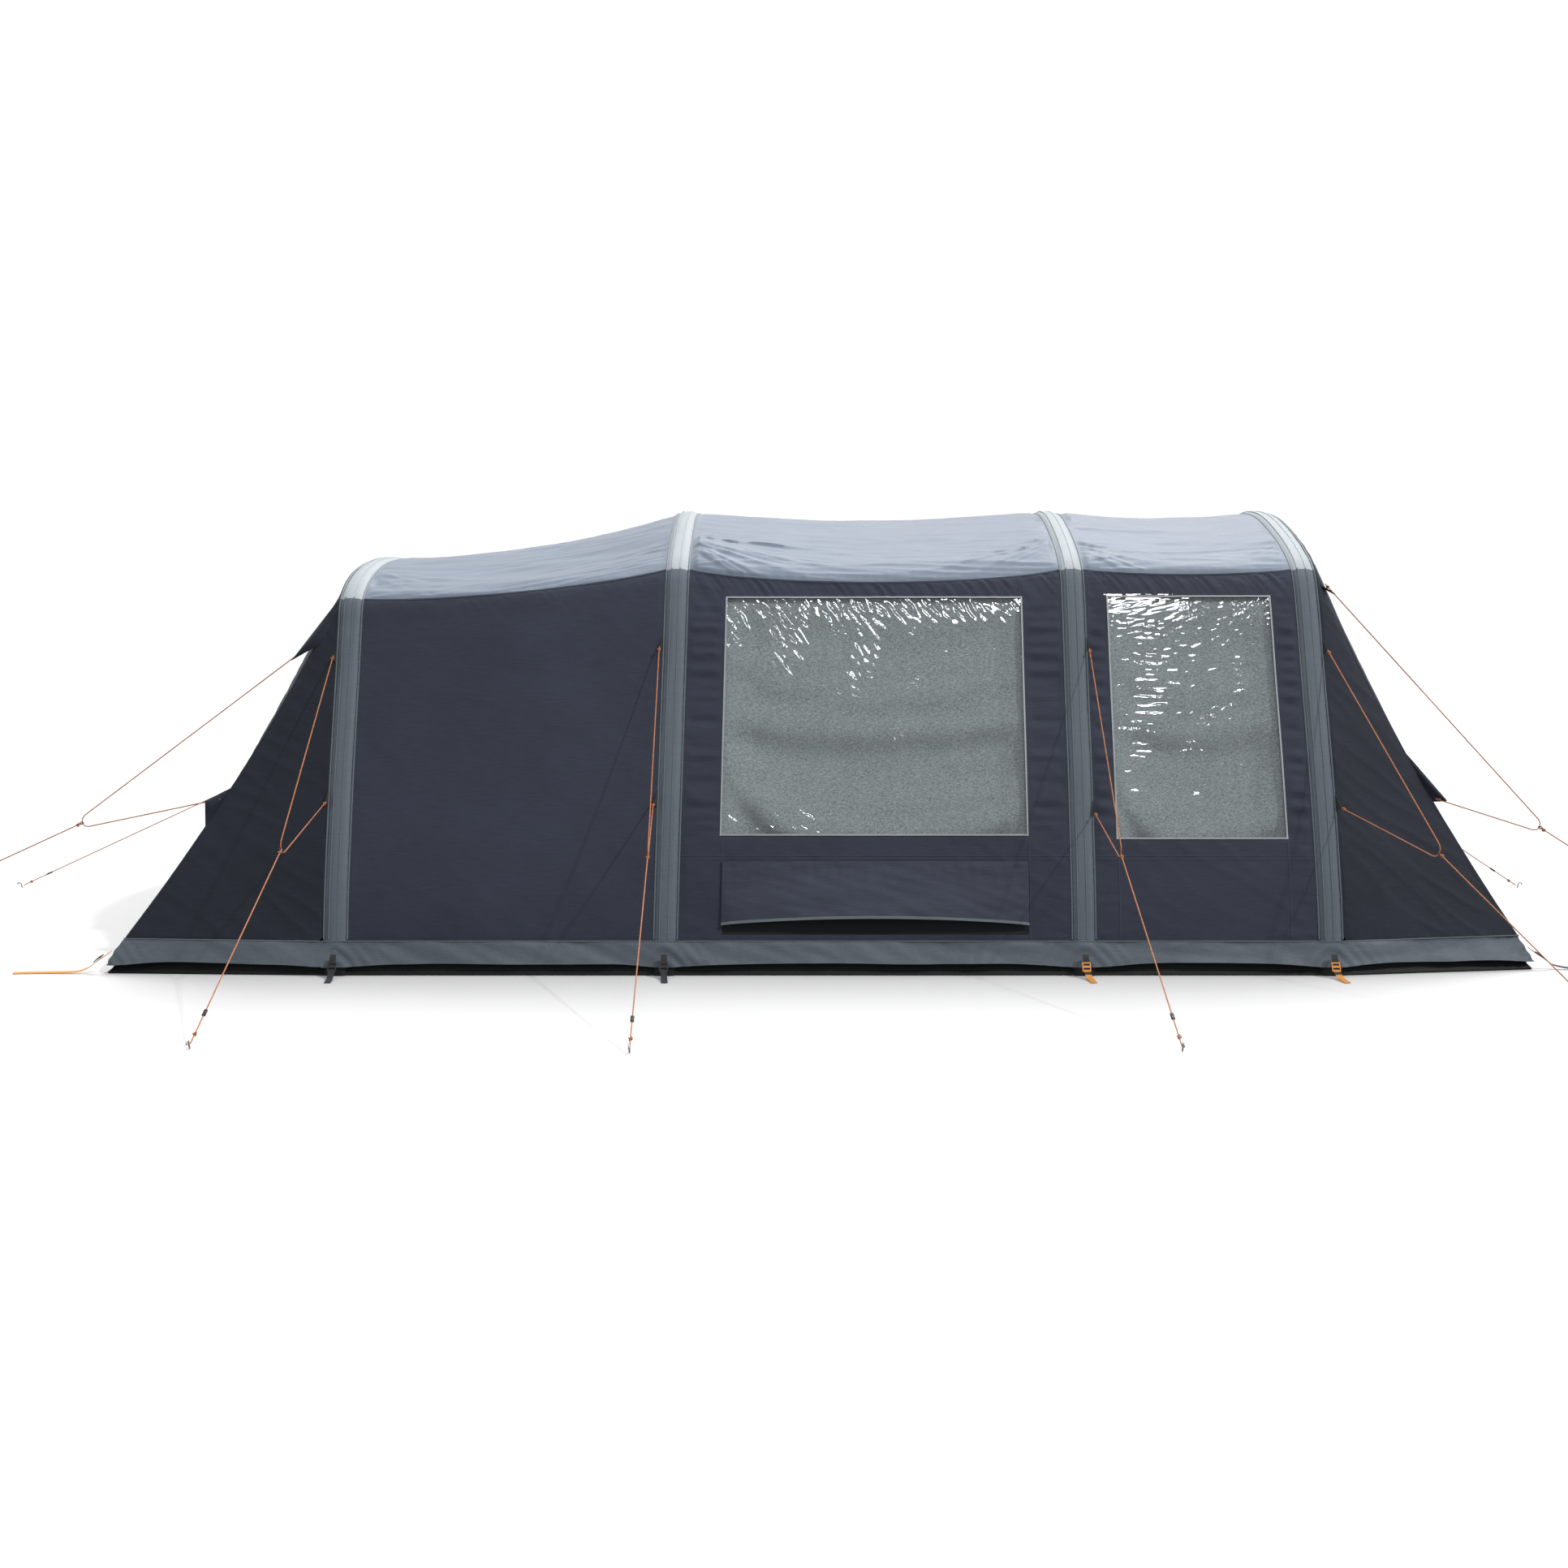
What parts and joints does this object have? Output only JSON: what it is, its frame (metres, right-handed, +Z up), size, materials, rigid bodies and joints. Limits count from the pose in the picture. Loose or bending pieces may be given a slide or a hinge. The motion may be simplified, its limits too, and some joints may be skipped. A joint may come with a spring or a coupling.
{
  "type": "tunnel tent",
  "caption": "Inflatable tunnel tent: air-beam arches, sewn flysheet with windows, doors and vent, hung bedroom, sewn-in floor and adjustable guy lines.",
  "frame": {"origin": "on the ground under the middle of the tent", "axes": "+X towards the sloping front with the main door, +Z up, -Y the near side with the vent"},
  "size_m": [8.7503, 6.386, 2.098],
  "materials": {
    "air_beam": "matte polyurethane film",
    "sleeve": "woven polyester, matte",
    "roof_cloth": "coated woven polyester",
    "wall_cloth": "coated woven polyester, matte",
    "end_cloth": "coated woven polyester, matte",
    "skirt": "woven polyester, matte",
    "groundsheet": "coated polyethylene",
    "window": "clear flexible PVC",
    "curtain": "woven, matte",
    "mesh": "knitted mesh",
    "bedroom_cloth": "breathable polyester",
    "cord": "braided polyester",
    "runner": "moulded",
    "zip": "moulded"
  },
  "bodies": {
    "tent": {"air_beam_1": "air_beam", "air_beam_2": "air_beam", "air_beam_3": "air_beam", "air_beam_4": "air_beam", "beam_sleeve_1": "sleeve", "beam_sleeve_2": "sleeve", "beam_sleeve_3": "sleeve", "beam_sleeve_4": "sleeve", "front_end_panel": "end_cloth", "groundsheet": "groundsheet", "guy_line_beam_1_far": "cord", "guy_line_beam_1_near": "cord", "guy_line_beam_2_far": "cord", "guy_line_beam_2_near": "cord", "guy_line_beam_3_far": "cord", "guy_line_beam_3_near": "cord", "guy_line_beam_4_far": "cord", "guy_line_beam_4_near": "cord", "guy_line_front_far": "cord", "guy_line_front_near": "cord", "guy_line_rear_far": "cord", "guy_line_rear_near": "cord", "inner_tent": "bedroom_cloth", "mud_skirt": "skirt", "rear_end_panel": "end_cloth", "roof_panel_front": "roof_cloth", "roof_panel_middle": "roof_cloth", "roof_panel_rear": "roof_cloth", "vent_mesh": "mesh", "wall_far_front": "wall_cloth", "wall_far_middle": "wall_cloth", "wall_far_rear": "wall_cloth", "wall_near_front": "wall_cloth", "wall_near_middle": "wall_cloth", "wall_near_rear": "wall_cloth", "window_far_large": "window", "window_near_large": "window", "window_near_small": "window"},
    "curtain_far_large": {"curtain_far_large": "curtain"},
    "curtain_near_large": {"curtain_near_large": "curtain"},
    "curtain_near_small": {"curtain_near_small": "curtain"},
    "front_door": {"front_door": "end_cloth"},
    "front_door_zip_pull": {"front_door_zip_pull": "zip"},
    "guy_runner_beam_1_far": {"guy_runner_beam_1_far": "runner"},
    "guy_runner_beam_1_near": {"guy_runner_beam_1_near": "runner"},
    "guy_runner_beam_2_far": {"guy_runner_beam_2_far": "runner"},
    "guy_runner_beam_2_near": {"guy_runner_beam_2_near": "runner"},
    "guy_runner_beam_3_far": {"guy_runner_beam_3_far": "runner"},
    "guy_runner_beam_3_near": {"guy_runner_beam_3_near": "runner"},
    "guy_runner_beam_4_far": {"guy_runner_beam_4_far": "runner"},
    "guy_runner_beam_4_near": {"guy_runner_beam_4_near": "runner"},
    "guy_runner_front_far": {"guy_runner_front_far": "runner"},
    "guy_runner_front_near": {"guy_runner_front_near": "runner"},
    "guy_runner_rear_far": {"guy_runner_rear_far": "runner"},
    "guy_runner_rear_near": {"guy_runner_rear_near": "runner"},
    "inner_door_zip_pull": {"inner_door_zip_pull": "zip"},
    "inner_tent_door": {"inner_tent_door": "bedroom_cloth"},
    "side_door": {"side_door": "wall_cloth"},
    "side_door_zip_pull": {"side_door_zip_pull": "zip"},
    "vent_flap": {"vent_flap": "wall_cloth"}
  },
  "joints": [
    {"name": "front_door_hinge", "type": "hinge", "parent": "tent", "child": "front_door", "pos_m": [3.00812, 0.75989, 0.28021], "axis": [-0.4031, -0.1139, 0.9081], "range_deg": [0, 100]},
    {"name": "side_door_hinge", "type": "hinge", "parent": "tent", "child": "side_door", "pos_m": [2.03935, 1.60917, 0.19862], "axis": [-0.0008, 0.3158, -0.9488], "range_deg": [0, 90]},
    {"name": "vent_flap_hinge", "type": "hinge", "parent": "tent", "child": "vent_flap", "pos_m": [0.22133, -1.51728, 0.487], "axis": [-1, 0, 0], "range_deg": [0, 60]},
    {"name": "curtain_near_large_hinge", "type": "hinge", "parent": "tent", "child": "curtain_near_large", "pos_m": [0.23684, -1.04354, 1.6642], "axis": [1, 0, 0], "range_deg": [0, 40]},
    {"name": "curtain_near_small_hinge", "type": "hinge", "parent": "tent", "child": "curtain_near_small", "pos_m": [1.66374, -1.04125, 1.669], "axis": [1, 0, 0], "range_deg": [0, 40]},
    {"name": "curtain_far_large_hinge", "type": "hinge", "parent": "tent", "child": "curtain_far_large", "pos_m": [0.23684, 1.04354, 1.6642], "axis": [-1, 0, 0], "range_deg": [0, 40]},
    {"name": "inner_tent_door_hinge", "type": "hinge", "parent": "tent", "child": "inner_tent_door", "pos_m": [-0.789, -0.4485, 0.1], "axis": [0, 0, -1], "range_deg": [0, 90]},
    {"name": "front_door_zip_slide", "type": "slide", "parent": "tent", "child": "front_door_zip_pull", "axis": [-0.4037, 0.117, 0.9074], "range_m": [0, 1.5]},
    {"name": "side_door_zip_slide", "type": "slide", "parent": "tent", "child": "side_door_zip_pull", "axis": [0.0066, -0.2728, 0.962], "range_m": [0, 0.499]},
    {"name": "inner_door_zip_slide", "type": "slide", "parent": "tent", "child": "inner_door_zip_pull", "axis": [0, 0, 1], "range_m": [0, 1.42]},
    {"name": "guy_runner_beam_1_near_slide", "type": "slide", "parent": "tent", "child": "guy_runner_beam_1_near", "axis": [0.0406, 0.8823, 0.469], "range_m": [-0.08, 0.99]},
    {"name": "guy_runner_beam_1_far_slide", "type": "slide", "parent": "tent", "child": "guy_runner_beam_1_far", "axis": [0.0406, -0.8823, 0.469], "range_m": [-0.08, 0.99]},
    {"name": "guy_runner_beam_2_near_slide", "type": "slide", "parent": "tent", "child": "guy_runner_beam_2_near", "axis": [-0.0145, 0.9126, 0.4086], "range_m": [-0.08, 1.1]},
    {"name": "guy_runner_beam_2_far_slide", "type": "slide", "parent": "tent", "child": "guy_runner_beam_2_far", "axis": [-0.0145, -0.9126, 0.4086], "range_m": [-0.08, 1.1]},
    {"name": "guy_runner_beam_3_near_slide", "type": "slide", "parent": "tent", "child": "guy_runner_beam_3_near", "axis": [-0.0168, 0.8996, 0.4365], "range_m": [-0.08, 1.04]},
    {"name": "guy_runner_beam_3_far_slide", "type": "slide", "parent": "tent", "child": "guy_runner_beam_3_far", "axis": [-0.0168, -0.8996, 0.4365], "range_m": [-0.08, 1.04]},
    {"name": "guy_runner_beam_4_near_slide", "type": "slide", "parent": "tent", "child": "guy_runner_beam_4_near", "axis": [-0.2442, 0.8666, 0.4351], "range_m": [-0.08, 1.05]},
    {"name": "guy_runner_beam_4_far_slide", "type": "slide", "parent": "tent", "child": "guy_runner_beam_4_far", "axis": [-0.2442, -0.8666, 0.4351], "range_m": [-0.08, 1.05]},
    {"name": "guy_runner_rear_near_slide", "type": "slide", "parent": "tent", "child": "guy_runner_rear_near", "axis": [0.9082, 0.0352, 0.417], "range_m": [-0.08, 1.24]},
    {"name": "guy_runner_rear_far_slide", "type": "slide", "parent": "tent", "child": "guy_runner_rear_far", "axis": [0.9082, -0.0352, 0.417], "range_m": [-0.08, 1.24]},
    {"name": "guy_runner_front_near_slide", "type": "slide", "parent": "tent", "child": "guy_runner_front_near", "axis": [-0.837, 0.0821, 0.541], "range_m": [-0.08, 0.86]},
    {"name": "guy_runner_front_far_slide", "type": "slide", "parent": "tent", "child": "guy_runner_front_far", "axis": [-0.837, -0.0821, 0.541], "range_m": [-0.08, 0.86]}
  ]
}
